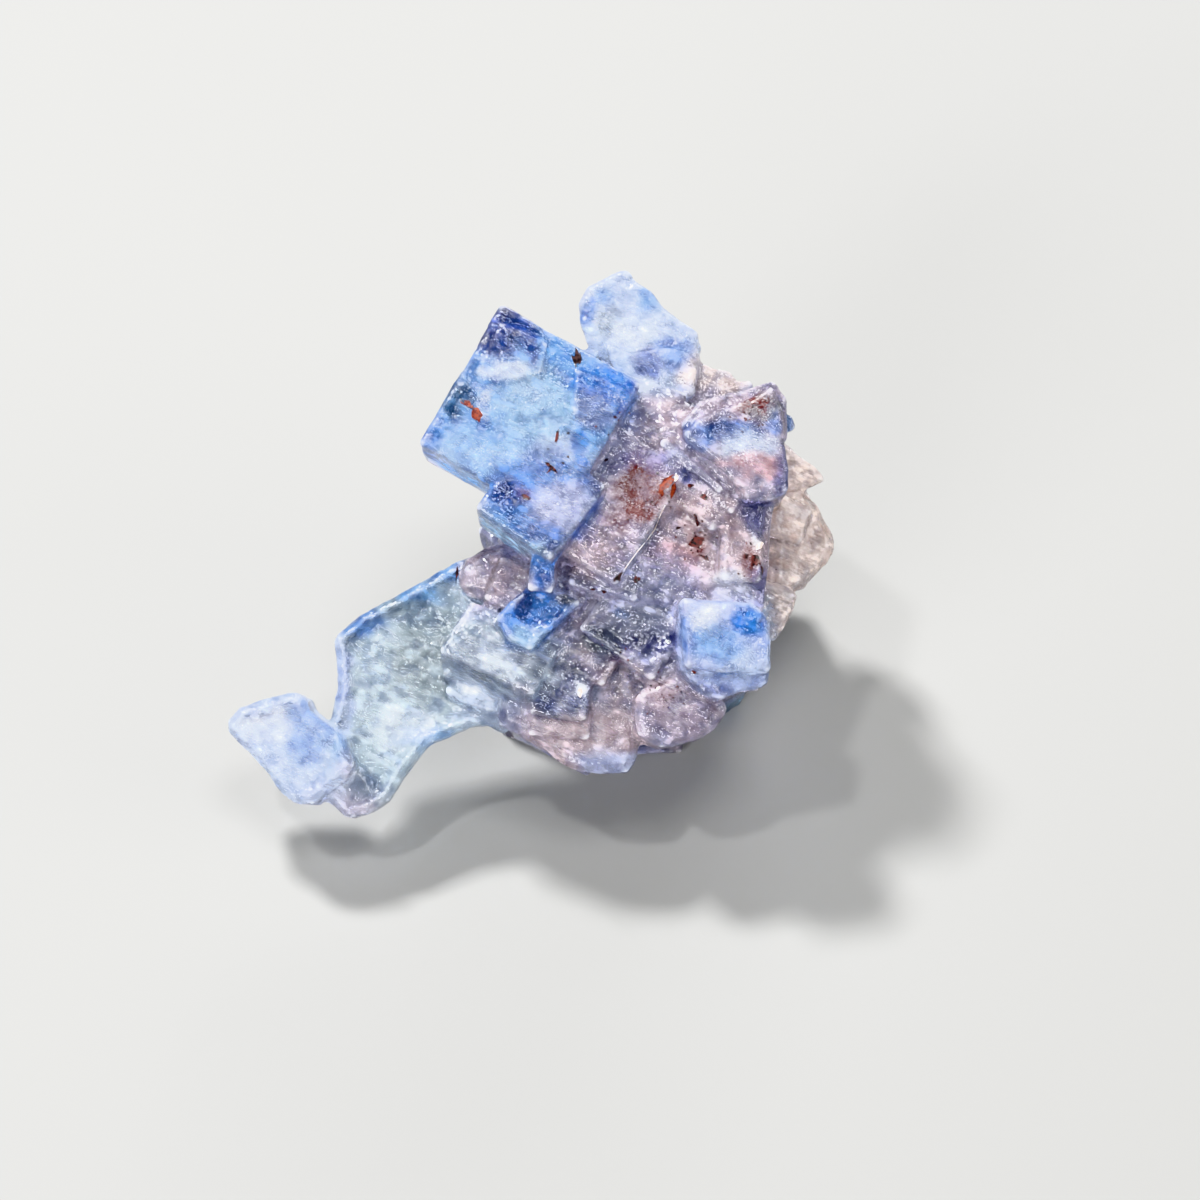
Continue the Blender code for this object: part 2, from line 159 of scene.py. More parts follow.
def modify(obj, kind, **settings):
    """Adds a modifier with these settings and applies it."""
    modifier = obj.modifiers.new(kind.lower(), kind)
    for name, value in settings.items():
        setattr(modifier, name, value)
    choose(obj)
    bpy.ops.object.modifier_apply(modifier=modifier.name)


# Shape


def voxel_surface(obj):
    """Makes the surface anew from small cubes, which joins what overlaps."""
    modify(obj, "REMESH", mode="VOXEL", voxel_size=VOXEL)


def crystal_axes():
    """An empty that lies along the growth directions of the parallel crystals."""
    axes = bpy.data.objects.new("growth_axes", None)
    bpy.context.scene.collection.objects.link(axes)
    lean = Matrix.Rotation(math.radians(-GROWTH_LEAN), 4, "X")
    turn = Matrix.Rotation(math.radians(GROWTH_TURN), 4, "Z")
    axes.matrix_world = display_matrix() @ lean @ turn
    bpy.context.view_layer.update()
    return axes


def relief(obj, texture, height, middle=0.5, axes=None):
    """Raises the surface by a texture, by up to height from its lowest to its highest."""
    settings = {"texture_coords": "LOCAL"}
    if axes:
        settings = {"texture_coords": "OBJECT", "texture_coords_object": axes}
    modify(obj, "DISPLACE", texture=texture, strength=height, mid_level=middle, **settings)


def undulation(name, size):
    """Smooth rises and hollows of about this size."""
    texture = bpy.data.textures.new(name, "CLOUDS")
    texture.noise_basis = "IMPROVED_PERLIN"
    texture.noise_scale = size
    texture.noise_depth = 1
    return texture


def square_terraces(name, size, levels):
    """Stepped squares, like the growth steps and etch pits of a cubic crystal."""
    texture = bpy.data.textures.new(name, "VORONOI")
    texture.distance_metric = "CHEBYCHEV"
    texture.noise_scale = size
    texture.use_color_ramp = True
    ramp = texture.color_ramp
    ramp.interpolation = "LINEAR"
    tread = 1 / levels
    riser = RISER_SHARE * tread
    stops = []
    for level in range(levels):
        shade = level / (levels - 1)
        stops.append((level * tread + riser, shade))
        stops.append(((level + 1) * tread, shade))
    while len(ramp.elements) < len(stops):
        ramp.elements.new(1.0)
    for element, (position, shade) in zip(ramp.elements, stops):
        element.position = position
        element.color = (shade, shade, shade, 1)
    return texture


def outer_shell(body):
    """Keeps the shell with the highest corner, without bubbles that the fillets closed off."""
    highest = max(body.data.vertices, key=lambda vertex: vertex.co.z).index
    choose(body)
    bpy.ops.object.mode_set(mode="EDIT")
    bpy.ops.mesh.select_all(action="DESELECT")
    bpy.ops.object.mode_set(mode="OBJECT")
    body.data.vertices[highest].select = True
    bpy.ops.object.mode_set(mode="EDIT")
    bpy.ops.mesh.select_linked()
    bpy.ops.mesh.select_all(action="INVERT")
    bpy.ops.mesh.delete(type="VERT")
    bpy.ops.object.mode_set(mode="OBJECT")


def flat_break(body):
    """Flattens the foot where it broke from its rock, on the plane that it rests on."""
    choose(body)
    bpy.ops.object.mode_set(mode="EDIT")
    bpy.ops.mesh.select_all(action="DESELECT")
    bpy.ops.object.mode_set(mode="OBJECT")
    for vertex in body.data.vertices:
        vertex.select = vertex.co.z < BREAK_DEPTH
    bpy.ops.object.mode_set(mode="EDIT")
    bpy.ops.transform.resize(value=(1, 1, 0), center_override=(0, 0, 0))
    bpy.ops.object.mode_set(mode="OBJECT")


def etch(body):
    """Raises the swells, dimples, growth steps and etch pits on the faces."""
    swell = undulation("swell", SWELL_SIZE)
    dimples = undulation("dimples", DIMPLE_SIZE)
    growth_steps = square_terraces("growth_steps", GROWTH_STEP_SIZE, GROWTH_STEPS)
    etch_pits = square_terraces("etch_pits", ETCH_PIT_SIZE, ETCH_PIT_STEPS)
    axes = crystal_axes()
    relief(body, swell, SWELL_HEIGHT, middle=SWELL_LEVEL)
    relief(body, dimples, DIMPLE_HEIGHT)
    relief(body, growth_steps, GROWTH_STEP_HEIGHT, axes=axes)
    relief(body, etch_pits, ETCH_PIT_HEIGHT, axes=axes)
    bpy.data.objects.remove(axes)


def etched_crystals():
    """The whole cluster: crystals that run into each other in small fillets, with etched faces."""
    node = frame["nodes"]["crystal_cluster"]
    body = bpy.data.objects.new("etched_crystals", node.data.copy())
    bpy.context.scene.collection.objects.link(body)
    choose(body)
    bpy.ops.object.mode_set(mode="EDIT")
    bpy.ops.mesh.select_all(action="SELECT")
    bpy.ops.mesh.remove_doubles(threshold=WELD_DISTANCE)
    bpy.ops.object.mode_set(mode="OBJECT")
    voxel_surface(body)
    modify(body, "DISPLACE", strength=FILLET, mid_level=0)
    voxel_surface(body)
    modify(body, "DISPLACE", strength=-FILLET, mid_level=0)
    modify(body, "SMOOTH", factor=EVENING, iterations=1)
    # The edges attribute marks where a painted highlight runs along the crystals' edges
    write_value(body, "edges", smooth_step(edge_sharpness(body) / EDGE_STANDOUT - EDGE_HIGHLIGHT_START))
    etch(body)
    count = 2 * len(body.data.polygons)
    if count > MOST_TRIANGLES:
        modify(body, "DECIMATE", ratio=MOST_TRIANGLES / count)
    outer_shell(body)
    flat_break(body)
    choose(body)
    bpy.ops.object.shade_smooth_by_angle(angle=math.radians(SHARP_ANGLE))
    return body


# Colour zones. Each is the middle and the half-widths, in mm as they are seen from the display side
# (right, up, towards the viewer), then the tint, how milky it is, and how strong. The WHITE and ICE
# zones marked below are painted glare and sheen, where faces catch the light

TALL_BLUE_CUBE = [
    ((-3.5, 9.4, 5.0), (6.0, 6.0, 5.0), SKY, 0.40, 0.9),
    ((-3.2, 9.8, 6.0), (2.4, 2.3, 2.0), PALE_BLUE, 0.55, 0.9),
    ((-2.4, 7.0, 6.3), (2.0, 1.4, 1.6), ICE, 0.55, 0.75),
    ((-6.0, 7.5, 6.3), (2.2, 1.2, 1.4), PALE_BLUE, 0.55, 0.6),
    ((-5.1, 13.7, 4.5), (1.8, 1.8, 4.5), NAVY, 0.30, 0.97),
    ((-3.35, 13.0, 5.8), (0.5, 1.4, 2.0), DEEP_BLUE, 0.30, 0.9),
    # Painted sheen on the frosty band
    ((-4.7, 11.5, 6.0), (1.3, 0.45, 1.5), WHITE, 0.55, 0.6),
    ((-2.0, 12.5, 5.6), (0.9, 0.9, 2.5), SKY, 0.45, 0.9),
    ((0.2, 11.1, 5.0), (1.7, 0.9, 4.0), MID_BLUE, 0.45, 0.9),
    ((1.1, 10.2, 5.0), (1.0, 1.4, 4.0), BRIGHT_BLUE, 0.45, 0.95),
    ((-0.3, 9.8, 6.1), (1.3, 1.2, 1.2), VIOLET_BLUE, 0.45, 0.6),
    ((-7.0, 10.3, 6.0), (0.8, 1.4, 1.5), TEAL, 0.30, 0.85),
    # Painted highlight along the left
    ((-5.85, 9.9, 6.1), (0.3, 0.9, 1.0), WHITE, 0.55, 0.55),
    ((-8.4, 7.9, 5.0), (0.9, 0.8, 4.0), MID_BLUE, 0.40, 0.9),
    ((-6.3, 6.2, 3.4), (2.8, 1.4, 2.6), SKY, 0.95, 0.95),
    ((-1.0, 7.5, 6.3), (0.4, 1.3, 1.0), BRIGHT_BLUE, 0.20, 0.95),
    ((0.0, 5.95, 6.3), (0.9, 0.7, 1.2), NAVY, 0.25, 0.95),
]

LOWER_BLUE_CUBE = [
    ((-3.0, 5.0, 6.0), (3.0, 2.7, 2.0), MID_BLUE, 0.35, 0.9),
    ((-1.6, 4.9, 7.0), (1.9, 1.3, 0.9), LILAC, 0.50, 0.8),
    ((-4.5, 5.4, 6.8), (0.9, 1.0, 1.0), DEEP_BLUE, 0.15, 0.9),
    ((-2.6, 3.4, 6.9), (1.0, 0.8, 0.8), DEEP_BLUE, 0.20, 0.6),
    ((-4.7, 3.2, 4.5), (2.2, 1.2, 1.9), PALE_BLUE, 0.90, 0.95),
    ((-0.2, 4.6, 6.0), (0.6, 0.9, 0.8), ROYAL, 0.55, 0.9),
    ((-0.9, 3.2, 5.9), (0.7, 0.9, 0.8), ROYAL, 0.55, 0.9),
    ((-2.85, 1.6, 5.8), (1.0, 1.3, 1.0), BRIGHT_BLUE, 0.50, 0.85),
    ((-3.3, -0.9, 5.2), (2.3, 2.0, 1.2), MID_BLUE, 0.50, 0.95),
    ((-3.7, -0.1, 5.5), (0.6, 0.7, 0.7), DEEP_BLUE, 0.10, 0.9),
    ((-3.7, -1.9, 5.6), (1.3, 0.9, 0.7), PALE_BLUE, 0.50, 0.85),
    ((-1.6, 0.05, 5.4), (0.4, 0.4, 0.6), BLACK_BROWN, 0.10, 0.7),
]

ARM = [
    ((-9.5, -4.0, 1.0), (6.5, 7.5, 3.2), CLEAR, 0.22, 1.0),
    ((-8.4, -3.0, 1.4), (2.2, 2.6, 1.5), SMOKE, 0.18, 0.6),
    ((-12.4, -1.2, 1.5), (1.8, 0.8, 2.4), MID_BLUE, 0.30, 0.8),
    ((-10.2, -0.2, 1.5), (2.1, 0.7, 2.4), TEAL, 0.25, 0.6),
    ((-10.2, 0.3, 1.5), (2.4, 0.5, 2.4), SKY, 0.35, 0.85),
    ((-8.0, 1.3, 1.5), (2.0, 0.7, 2.4), SKY, 0.35, 0.85),
    ((-12.9, -4.3, 1.5), (0.6, 2.8, 2.4), LAVENDER, 0.45, 0.85),
    ((-8.6, -6.9, 1.0), (1.6, 0.6, 2.0), SKY, 0.45, 0.8),
    ((-6.0, -5.9, 1.2), (1.8, 0.5, 2.0), ICE, 0.55, 0.8),
    # Painted highlight
    ((-9.8, -6.3, 1.8), (1.6, 1.2, 1.0), WHITE, 0.55, 0.6),
    ((-15.8, -7.3, 2.5), (3.6, 3.5, 3.0), ICE, 0.40, 1.0),
    ((-14.6, -6.6, 3.0), (1.3, 2.0, 1.2), MID_BLUE, 0.35, 0.6),
    # Painted highlight
    ((-16.6, -6.2, 3.0), (1.3, 0.8, 1.2), WHITE, 0.50, 0.5),
    ((-12.7, -7.2, 3.2), (0.9, 1.0, 1.0), SKY, 0.40, 0.6),
    ((-12.0, -9.3, 2.0), (0.9, 0.9, 1.0), SLATE, 0.10, 0.6),
    ((-5.6, 1.2, 2.5), (2.0, 1.8, 2.5), PINK_MAUVE, 0.40, 0.8),
    ((-5.0, 2.9, 3.4), (1.0, 0.7, 1.0), ROYAL, 0.15, 0.8),
]

CLEAR_CUBE = [
    ((-5.2, -2.8, 4.4), (3.6, 2.6, 1.8), CLEAR, 0.12, 0.9),
    ((-6.6, -2.6, 4.4), (1.2, 1.0, 0.9), SLATE, 0.15, 0.45),
    # Painted glare
    ((-4.9, -3.0, 4.8), (1.4, 0.9, 0.8), WHITE, 0.40, 0.45),
    ((-6.2, -4.9, 3.0), (2.6, 0.9, 1.2), ICE, 0.65, 0.8),
    ((-5.6, -3.9, 3.9), (2.4, 0.4, 1.0), SMOKE, 0.15, 0.7),
    # Painted glare: the streaks on the side face, in the next two zones
    ((-7.9, -3.9, 3.4), (0.4, 0.4, 1.2), WHITE, 0.90, 0.9),
    ((-6.5, -4.6, 3.0), (0.9, 0.3, 1.2), WHITE, 0.90, 0.95),
]

PALE_SPUR = [
    ((1.6, 13.2, 1.0), (4.0, 4.6, 4.0), ICE, 0.55, 1.0),
    ((-0.6, 14.6, 0.0), (0.5, 0.9, 3.5), MID_BLUE, 0.30, 0.8),
    ((0.5, 13.9, 1.5), (0.9, 0.9, 2.0), SMOKE, 0.35, 0.5),
    ((0.3, 15.4, 0.0), (0.7, 0.5, 3.5), SKY, 0.35, 0.7),
    ((2.5, 14.9, 0.0), (0.8, 0.9, 3.5), SKY, 0.35, 0.8),
    ((2.25, 12.0, 2.0), (0.8, 0.7, 2.5), DEEP_BLUE, 0.30, 0.8),
    ((3.7, 12.3, 2.0), (0.9, 0.9, 2.5), MID_BLUE, 0.35, 0.7),
    # Painted glare, in the next two zones
    ((1.8, 13.3, 1.8), (1.4, 0.7, 1.2), WHITE, 0.55, 0.6),
    ((1.4, 10.7, 3.0), (1.3, 0.9, 1.5), WHITE, 0.60, 0.7),
    ((5.6, 11.3, 1.5), (2.2, 1.0, 2.5), PINK_CREAM, 0.50, 0.8),
    ((2.9, 8.9, 4.2), (2.2, 1.6, 1.8), PINK_MAUVE, 0.50, 0.75),
]

PEAKED_CRYSTAL = [
    ((7.0, 8.2, 5.0), (3.2, 3.4, 3.0), MAUVE, 0.35, 0.7),
    ((8.7, 9.2, 5.4), (0.6, 1.1, 1.0), MID_BLUE, 0.20, 0.7),
    ((6.7, 8.5, 5.4), (1.6, 0.6, 1.0), MID_BLUE, 0.20, 0.8),
    ((4.9, 8.2, 5.3), (0.9, 0.8, 1.0), MID_BLUE, 0.25, 0.6),
    ((8.1, 9.6, 4.8), (1.2, 0.7, 1.0), SMOKE, 0.30, 0.8),
    # Painted sheen
    ((7.4, 7.7, 5.4), (1.5, 0.8, 1.0), ICE, 0.55, 0.8),
    ((7.6, 6.8, 5.4), (1.9, 0.7, 1.0), ROSE, 0.60, 0.7),
    ((9.2, 6.1, 4.5), (0.7, 1.5, 2.0), VIOLET_BLUE, 0.25, 0.7),
    ((9.4, 8.8, 3.4), (0.6, 0.6, 1.0), SKY, 0.30, 0.9),
]

MAUVE_CUBE = [
    ((0.6, 4.8, 4.5), (4.4, 4.6, 2.0), MAUVE, 0.40, 0.85),
    ((0.2, 7.4, 5.0), (1.6, 1.6, 0.9), LILAC, 0.35, 0.7),
    ((-0.3, 2.2, 5.0), (1.5, 1.3, 1.5), PINK_MAUVE, 0.50, 0.7),
    ((2.2, 6.9, 4.9), (1.8, 0.6, 0.9), VIOLET_BLUE, 0.25, 0.55),
    ((2.9, 3.2, 5.0), (0.9, 1.2, 0.9), SLATE, 0.25, 0.6),
    ((4.5, 6.4, 4.8), (0.8, 0.7, 1.0), DEEP_BLUE, 0.15, 0.9),
]

VIOLET_SLAB = [
    ((6.0, 2.8, 4.5), (3.4, 3.6, 3.0), PINK_MAUVE, 0.45, 0.9),
    ((3.5, 2.0, 4.4), (1.2, 1.0, 1.0), ROSE, 0.50, 0.6),
    ((7.9, 4.2, 4.8), (1.0, 1.4, 1.3), VIOLET_BLUE, 0.15, 0.85),
    ((8.2, 0.7, 4.4), (0.7, 1.0, 1.2), VIOLET_BLUE, 0.20, 0.8),
    ((7.9, 2.7, 4.9), (0.4, 0.35, 0.6), WHITE, 0.90, 0.95),
    ((6.5, 0.8, 4.6), (1.3, 0.8, 1.0), WHITE, 0.60, 0.7),
]

VIOLET_CUBE = [
    ((2.4, -0.6, 4.5), (3.2, 3.2, 3.0), LILAC, 0.40, 0.8),
    ((2.6, -2.2, 4.7), (1.8, 0.5, 1.0), VIOLET_BLUE, 0.15, 0.85),
    ((0.3, -2.0, 4.5), (0.9, 0.9, 1.2), SLATE, 0.20, 0.75),
    ((1.0, -0.75, 4.7), (0.5, 0.4, 0.8), MID_BLUE, 0.20, 0.6),
]

LOWER_RIGHT_CUBE = [
    ((6.3, -2.0, 5.8), (2.9, 3.2, 2.5), LAVENDER, 0.65, 0.95),
    ((5.9, -2.4, 6.2), (1.7, 1.1, 1.2), SKY, 0.40, 0.75),
    ((7.3, -3.1, 6.2), (1.0, 0.6, 1.2), ICE, 0.50, 0.7),
    ((4.6, -1.9, 6.0), (0.7, 1.6, 1.4), MID_BLUE, 0.35, 0.55),
    ((7.7, -1.2, 6.2), (0.8, 1.0, 1.2), BRIGHT_BLUE, 0.30, 0.95),
    # Painted glare on the cube's face
    ((5.6, -0.9, 6.5), (0.9, 0.8, 0.8), WHITE, 0.55, 0.65),
    ((5.4, -4.4, 5.6), (1.1, 0.4, 1.5), VIOLET_BLUE, 0.35, 0.6),
]

FOOT = [
    ((-0.8, -7.0, 3.5), (4.0, 2.3, 3.0), PINK_MAUVE, 0.65, 0.9),
    ((0.5, -8.0, 3.8), (2.0, 0.8, 1.5), LAVENDER, 0.60, 0.8),
    ((-1.9, -4.7, 4.8), (1.8, 1.6, 1.3), SLATE, 0.25, 0.85),
    ((-2.7, -4.6, 4.8), (0.7, 0.9, 0.8), DEEP_BLUE, 0.10, 0.6),
    # Painted glint
    ((-1.0, -4.6, 4.9), (0.45, 0.5, 0.5), WHITE, 0.90, 0.95),
    ((3.9, -5.5, 4.5), (2.5, 2.0, 2.5), MAUVE, 0.35, 0.85),
    ((1.2, -4.2, 4.4), (1.4, 1.4, 1.5), PINK_MAUVE, 0.50, 0.8),
]

REAR_RIGHT = [
    ((10.2, 2.8, 0.0), (2.8, 6.2, 4.0), PINK_CREAM, 0.70, 1.0),
]

ZONES = (
    REAR_RIGHT + PALE_SPUR + ARM + TALL_BLUE_CUBE + MAUVE_CUBE + VIOLET_SLAB + PEAKED_CRYSTAL
    + VIOLET_CUBE + FOOT + CLEAR_CUBE + LOWER_BLUE_CUBE + LOWER_RIGHT_CUBE
)

# Rust between and under the crystals: middle, half-widths and strength
RUST_CLOUDS = [
    ((2.0, 5.4, 5.2), (1.5, 2.0, 1.5), 1.1),
    ((1.0, 4.0, 5.2), (1.0, 1.0, 1.2), 0.8),
    ((3.2, 5.6, 5.3), (0.8, 1.0, 1.0), 0.8),
    ((4.75, 3.1, 4.6), (0.8, 1.4, 1.2), 0.9),
    ((4.1, 4.4, 4.6), (0.3, 1.3, 1.0), 0.5),
    ((7.7, 1.9, 4.9), (0.7, 1.2, 1.0), 0.9),
    ((7.8, 9.7, 5.0), (1.4, 0.7, 1.2), 0.95),
    ((7.0, 5.8, 5.3), (0.6, 0.4, 0.6), 0.45),
    ((0.9, -2.8, 4.4), (0.8, 0.8, 1.0), 0.7),
    ((-1.1, -1.1, 4.6), (0.5, 0.6, 1.0), 0.5),
    ((3.0, -4.7, 4.9), (1.2, 0.9, 1.0), 0.65),
    ((-3.75, 5.15, 6.9), (0.6, 0.35, 0.6), 0.8),
    ((-7.15, 1.4, 2.0), (0.15, 0.8, 1.0), 0.9),
    ((0.75, 9.1, 5.9), (0.7, 0.4, 0.8), 0.5),
]

# Where the faces are frosted with fine pits: middle, half-widths and strength
FROST = [
    ((-2.2, 7.0, 6.3), (2.2, 2.0, 1.5), 0.7),
    ((-5.6, 7.2, 6.3), (2.2, 1.2, 1.5), 0.9),
    ((-4.3, 11.6, 6.0), (1.6, 0.8, 1.5), 1.2),
    ((-3.6, 10.3, 6.0), (1.5, 0.8, 1.5), 0.9),
    ((-5.8, 9.9, 6.1), (0.5, 1.1, 1.0), 1.2),
    ((0.0, 9.6, 6.0), (1.4, 1.2, 2.0), 0.9),
    ((-2.4, 5.0, 7.0), (1.9, 1.9, 1.5), 0.9),
    ((2.4, 5.2, 5.3), (1.6, 1.6, 1.5), 0.6),
    ((7.3, 7.8, 5.4), (1.8, 1.0, 1.5), 1.2),
    ((7.4, 7.0, 5.4), (2.0, 1.0, 1.5), 0.7),
    ((7.7, 2.2, 4.9), (0.9, 1.8, 1.0), 0.9),
    ((5.6, -1.1, 6.5), (1.2, 1.2, 1.0), 1.2),
    ((6.5, -2.9, 6.4), (1.6, 0.8, 1.0), 0.5),
    ((-5.1, -2.9, 4.6), (2.4, 1.4, 1.5), 1.0),
    ((3.4, -4.9, 5.0), (1.6, 1.2, 1.2), 0.8),
    ((-1.0, -6.4, 4.2), (3.4, 1.6, 2.0), 0.4),
    ((1.8, 13.2, 1.8), (2.0, 1.5, 2.0), 0.9),
    ((0.3, 15.0, 1.5), (1.2, 1.2, 2.0), 0.6),
    ((-16.0, -7.2, 3.0), (2.4, 2.2, 2.0), 0.7),
    ((-10.5, -4.5, 2.0), (2.5, 4.0, 2.0), 0.3),
]

# Away from the zones: how milky the crystals are, and the most frost
BARE_MILK = 0.35
BARE_FROST = 0.1

# The share of a zone, a rust cloud and a frosted place over which it fades out
ZONE_FADE = 0.5
RUST_FADE = 0.8
FROST_FADE = 0.7

# The zones' edges wander in wide and in short bends: the bends' size and reach, in mm, and a shift
# that sets the two apart. Without the seed the bends would change from run to run
WIDE_BENDS = (2.2, 0.5, 3.0)
SHORT_BENDS = (0.7, 0.35, 9.0)
WANDER_SEED = 7

# The size, in mm, of the drifts of colour away from the zones
DRIFT_SIZE = 5.0


def smooth_step(value):
    """0 up to 0, 1 from 1, and smooth between."""
    value = np.clip(value, 0, 1)
    return value * value * (3 - 2 * value)


def seen_places(body):
    """Where each vertex is seen on the display side, and its depth, in mm."""
    points = np.empty(len(body.data.vertices) * 3)
    body.data.vertices.foreach_get("co", points)
    to_display = np.array(display_matrix().inverted())
    points = (points.reshape(-1, 3) @ to_display[:3, :3].T + to_display[:3, 3]) / MM
    near = 1 - points[:, 2:] * MM / VIEW_DISTANCE
    points[:, :2] /= near
    return points


def patch(places, middle, reach, softness):
    """1 inside an ellipsoid and 0 outside, with this much of it for the fade."""
    distance = np.linalg.norm((places - middle) / reach, axis=1)
    return smooth_step((1 + softness / 3 - distance) / softness)


def wandering(points, size, reach, apart):
    """A smooth random shift for each point, so that a zone's edge wanders."""
    noise.seed_set(WANDER_SEED)
    shift = Vector((apart, apart, apart))
    return reach * np.array([noise.noise_vector(Vector(point) / size + shift) for point in points])


def edge_sharpness(body):
    """How far each vertex stands out from the middle of its neighbours, in mm, evened over them."""
    mesh = body.data
    ends = np.empty(len(mesh.edges) * 2, int)
    mesh.edges.foreach_get("vertices", ends)
    ends = ends.reshape(-1, 2)
    places = np.empty(len(mesh.vertices) * 3)
    mesh.vertices.foreach_get("co", places)
    places = places.reshape(-1, 3)
    normals = np.empty(len(mesh.vertices) * 3)
    mesh.vertices.foreach_get("normal", normals)
    normals = normals.reshape(-1, 3)
    total = np.zeros_like(places)
    count = np.zeros(len(places))
    for one, other in ((0, 1), (1, 0)):
        np.add.at(total, ends[:, one], places[ends[:, other]])
        np.add.at(count, ends[:, one], 1)
    offset = places - total / count[:, None]
    stands = (offset * normals).sum(axis=1) / MM
    for _ in range(2):
        spread = np.zeros(len(places))
        for one, other in ((0, 1), (1, 0)):
            np.add.at(spread, ends[:, one], stands[ends[:, other]])
        stands = 0.5 * stands + 0.5 * spread / count
    return stands


def paint(body):
    """Writes the tint with its milkiness, the rust and the frost, each in an attribute."""
    places = seen_places(body)
    bent = places + wandering(places, *WIDE_BENDS) + wandering(places, *SHORT_BENDS)
    drift = np.array([noise.noise(Vector(point) / DRIFT_SIZE) for point in places])[:, None]
    tint = np.array(MAUVE) + (np.array(LILAC) - MAUVE) * smooth_step(0.5 + 1.5 * drift)
    tint = tint + (np.array(PALE_BLUE) - tint) * smooth_step(-2.5 * drift - 0.3)
    milk = np.full(len(places), BARE_MILK)
    for middle, reach, colour, milkiness, strength in ZONES:
        mask = strength * patch(bent, middle, reach, ZONE_FADE)
        tint += (np.array(colour) - tint) * mask[:, None]
        milk += (milkiness - milk) * mask
    rust = np.zeros(len(places))
    for middle, reach, strength in RUST_CLOUDS:
        rust = np.maximum(rust, strength * patch(bent, middle, reach, RUST_FADE))
    frost = BARE_FROST * smooth_step(0.5 + 2 * drift[:, 0])
    for middle, reach, strength in FROST:
        frost = np.maximum(frost, strength * patch(bent, middle, reach, FROST_FADE))
    write_colours(body, "tint", np.column_stack([tint, milk]))
    write_value(body, "rust", rust)
    write_value(body, "frost", frost)


def write_colours(body, name, values):
    """An attribute with a colour and one more number at each vertex."""
    attribute = body.data.color_attributes.new(name, "FLOAT_COLOR", "POINT")
    attribute.data.foreach_set("color", values.astype(np.float32).ravel())


def write_value(body, name, values):
    """An attribute with one number at each vertex."""
    attribute = body.data.attributes.new(name, "FLOAT", "POINT")
    attribute.data.foreach_set("value", values.astype(np.float32))


# Inclusions, and pale pieces that stand in for glints and for an edge highlight. Each flake is its
# place and half-sizes, in mm as they are seen on the display side, and its turn in degrees

ORANGE_FLAKES = [
    ((-6.65, 9.85), (0.36, 0.16), -30),
    ((-6.2, 9.3), (0.2, 0.36), 20),
    ((3.35, 5.85), (0.2, 0.42), -38),
    ((3.6, 5.45), (0.14, 0.3), -30),
    ((3.05, 5.35), (0.13, 0.2), 10),
    ((4.7, -3.6), (0.1, 0.16), 0),
]

RUST_FLAKES = [
    ((-2.45, 6.65), (0.34, 0.07), 25),
    ((-2.4, 6.6), (0.07, 0.32), 12),
    ((-2.5, 6.7), (0.25, 0.08), -40),
    ((-3.75, 5.15), (0.22, 0.1), -20),
    ((-2.15, 8.2), (0.07, 0.35), -8),
    ((-7.15, 1.35), (0.06, 0.55), -6),
    ((4.5, 5.7), (0.16, 0.12), 20),
    ((5.2, 5.15), (0.2, 0.13), -10),
    ((4.8, 4.05), (0.1, 0.4), 6),
    ((4.8, 2.9), (0.34, 0.24), 15),
    ((5.3, 2.1), (0.2, 0.12), -30),
    ((1.85, 1.0), (0.17, 0.13), 0),
    ((0.2, 0.4), (0.1, 0.09), 0),
    ((-0.35, 0.55), (0.12, 0.05), -15),
    ((7.75, 1.95), (0.3, 0.2), 40),
    ((8.1, 1.5), (0.16, 0.22), 0),
    ((7.3, 2.2), (0.14, 0.1), 0),
]

DARK_FLAKES = [
    ((-1.15, 12.15), (0.2, 0.5), 8),
    ((-1.6, 8.35), (0.06, 0.05), 0),
    ((-1.85, 6.85), (0.06, 0.06), 0),
    ((-1.6, 7.15), (0.05, 0.06), 0),
    ((-2.6, 7.55), (0.05, 0.05), 0),
    ((0.9, 1.15), (0.3, 0.16), 20),
    ((3.9, 3.6), (0.1, 0.08), 0),
    ((0.3, 7.0), (0.12, 0.06), 30),
]

# Pale crumbs: real spar lumps, and painted glints such as the one on the slate spot at (-1.0, -4.6)
SPAR_CRUMBS_AND_GLINTS = [
    ((3.8, 6.15), (0.1, 0.2), 0),
    ((7.95, 2.7), (0.2, 0.13), 10),
    ((-1.0, -4.6), (0.1, 0.2), 0),
    ((2.9, -4.4), (0.12, 0.06), 0),
]

# Specks of rust scattered through a round patch: its middle, its half-width and how many. The
# specks' half-sizes lie in this range, in mm, and their spread is this share of the patch
SPECKS = [
    ((2.4, 5.0), 1.7, 26),
    ((4.7, 3.2), 0.9, 16),
    ((7.8, 1.8), 0.8, 14),
    ((3.2, -4.6), 1.1, 18),
    ((7.6, 9.2), 1.0, 16),
    ((0.9, -2.8), 0.7, 8),
    ((0.8, 9.0), 0.7, 8),
]
SPECK_REACH = (0.02, 0.07)
SPECK_SPREAD = 0.5
SPECK_SEED = 5

# The painted highlight along the edge of the mauve cube, a thin pale line, in mm as it is seen on the
# display side: its corners, its half-width, and in how many steps each stretch is laid on the face
EDGE_GLINT_LINE = [
    (3.25, 4.75),
    (2.95, 4.1),
    (2.75, 3.55),
    (2.35, 3.0),
    (1.85, 2.4),
    (1.45, 1.85),
    (1.1, 1.35),
]
EDGE_GLINT_RADIUS = 0.02
EDGE_GLINT_STEPS = 4

# The corners round a flake, its thickness in mm, and how far a corner may stray, as a share of the
# flake's half-size
FLAKE_SIDES = 11
FLAKE_THICKNESS = 0.05
FLAKE_RAGGEDNESS = 0.7


def on_face(body, spot):
    """Where the line of sight through this spot meets the crystals, and which way the face turns."""
    eye = display_matrix() @ Vector((0, 0, VIEW_DISTANCE))
    aim = display_matrix() @ Vector((spot[0] * MM, spot[1] * MM, 0))
    hit, place, normal, _ = body.ray_cast(eye, aim - eye)
    return (place, normal) if hit else (None, None)


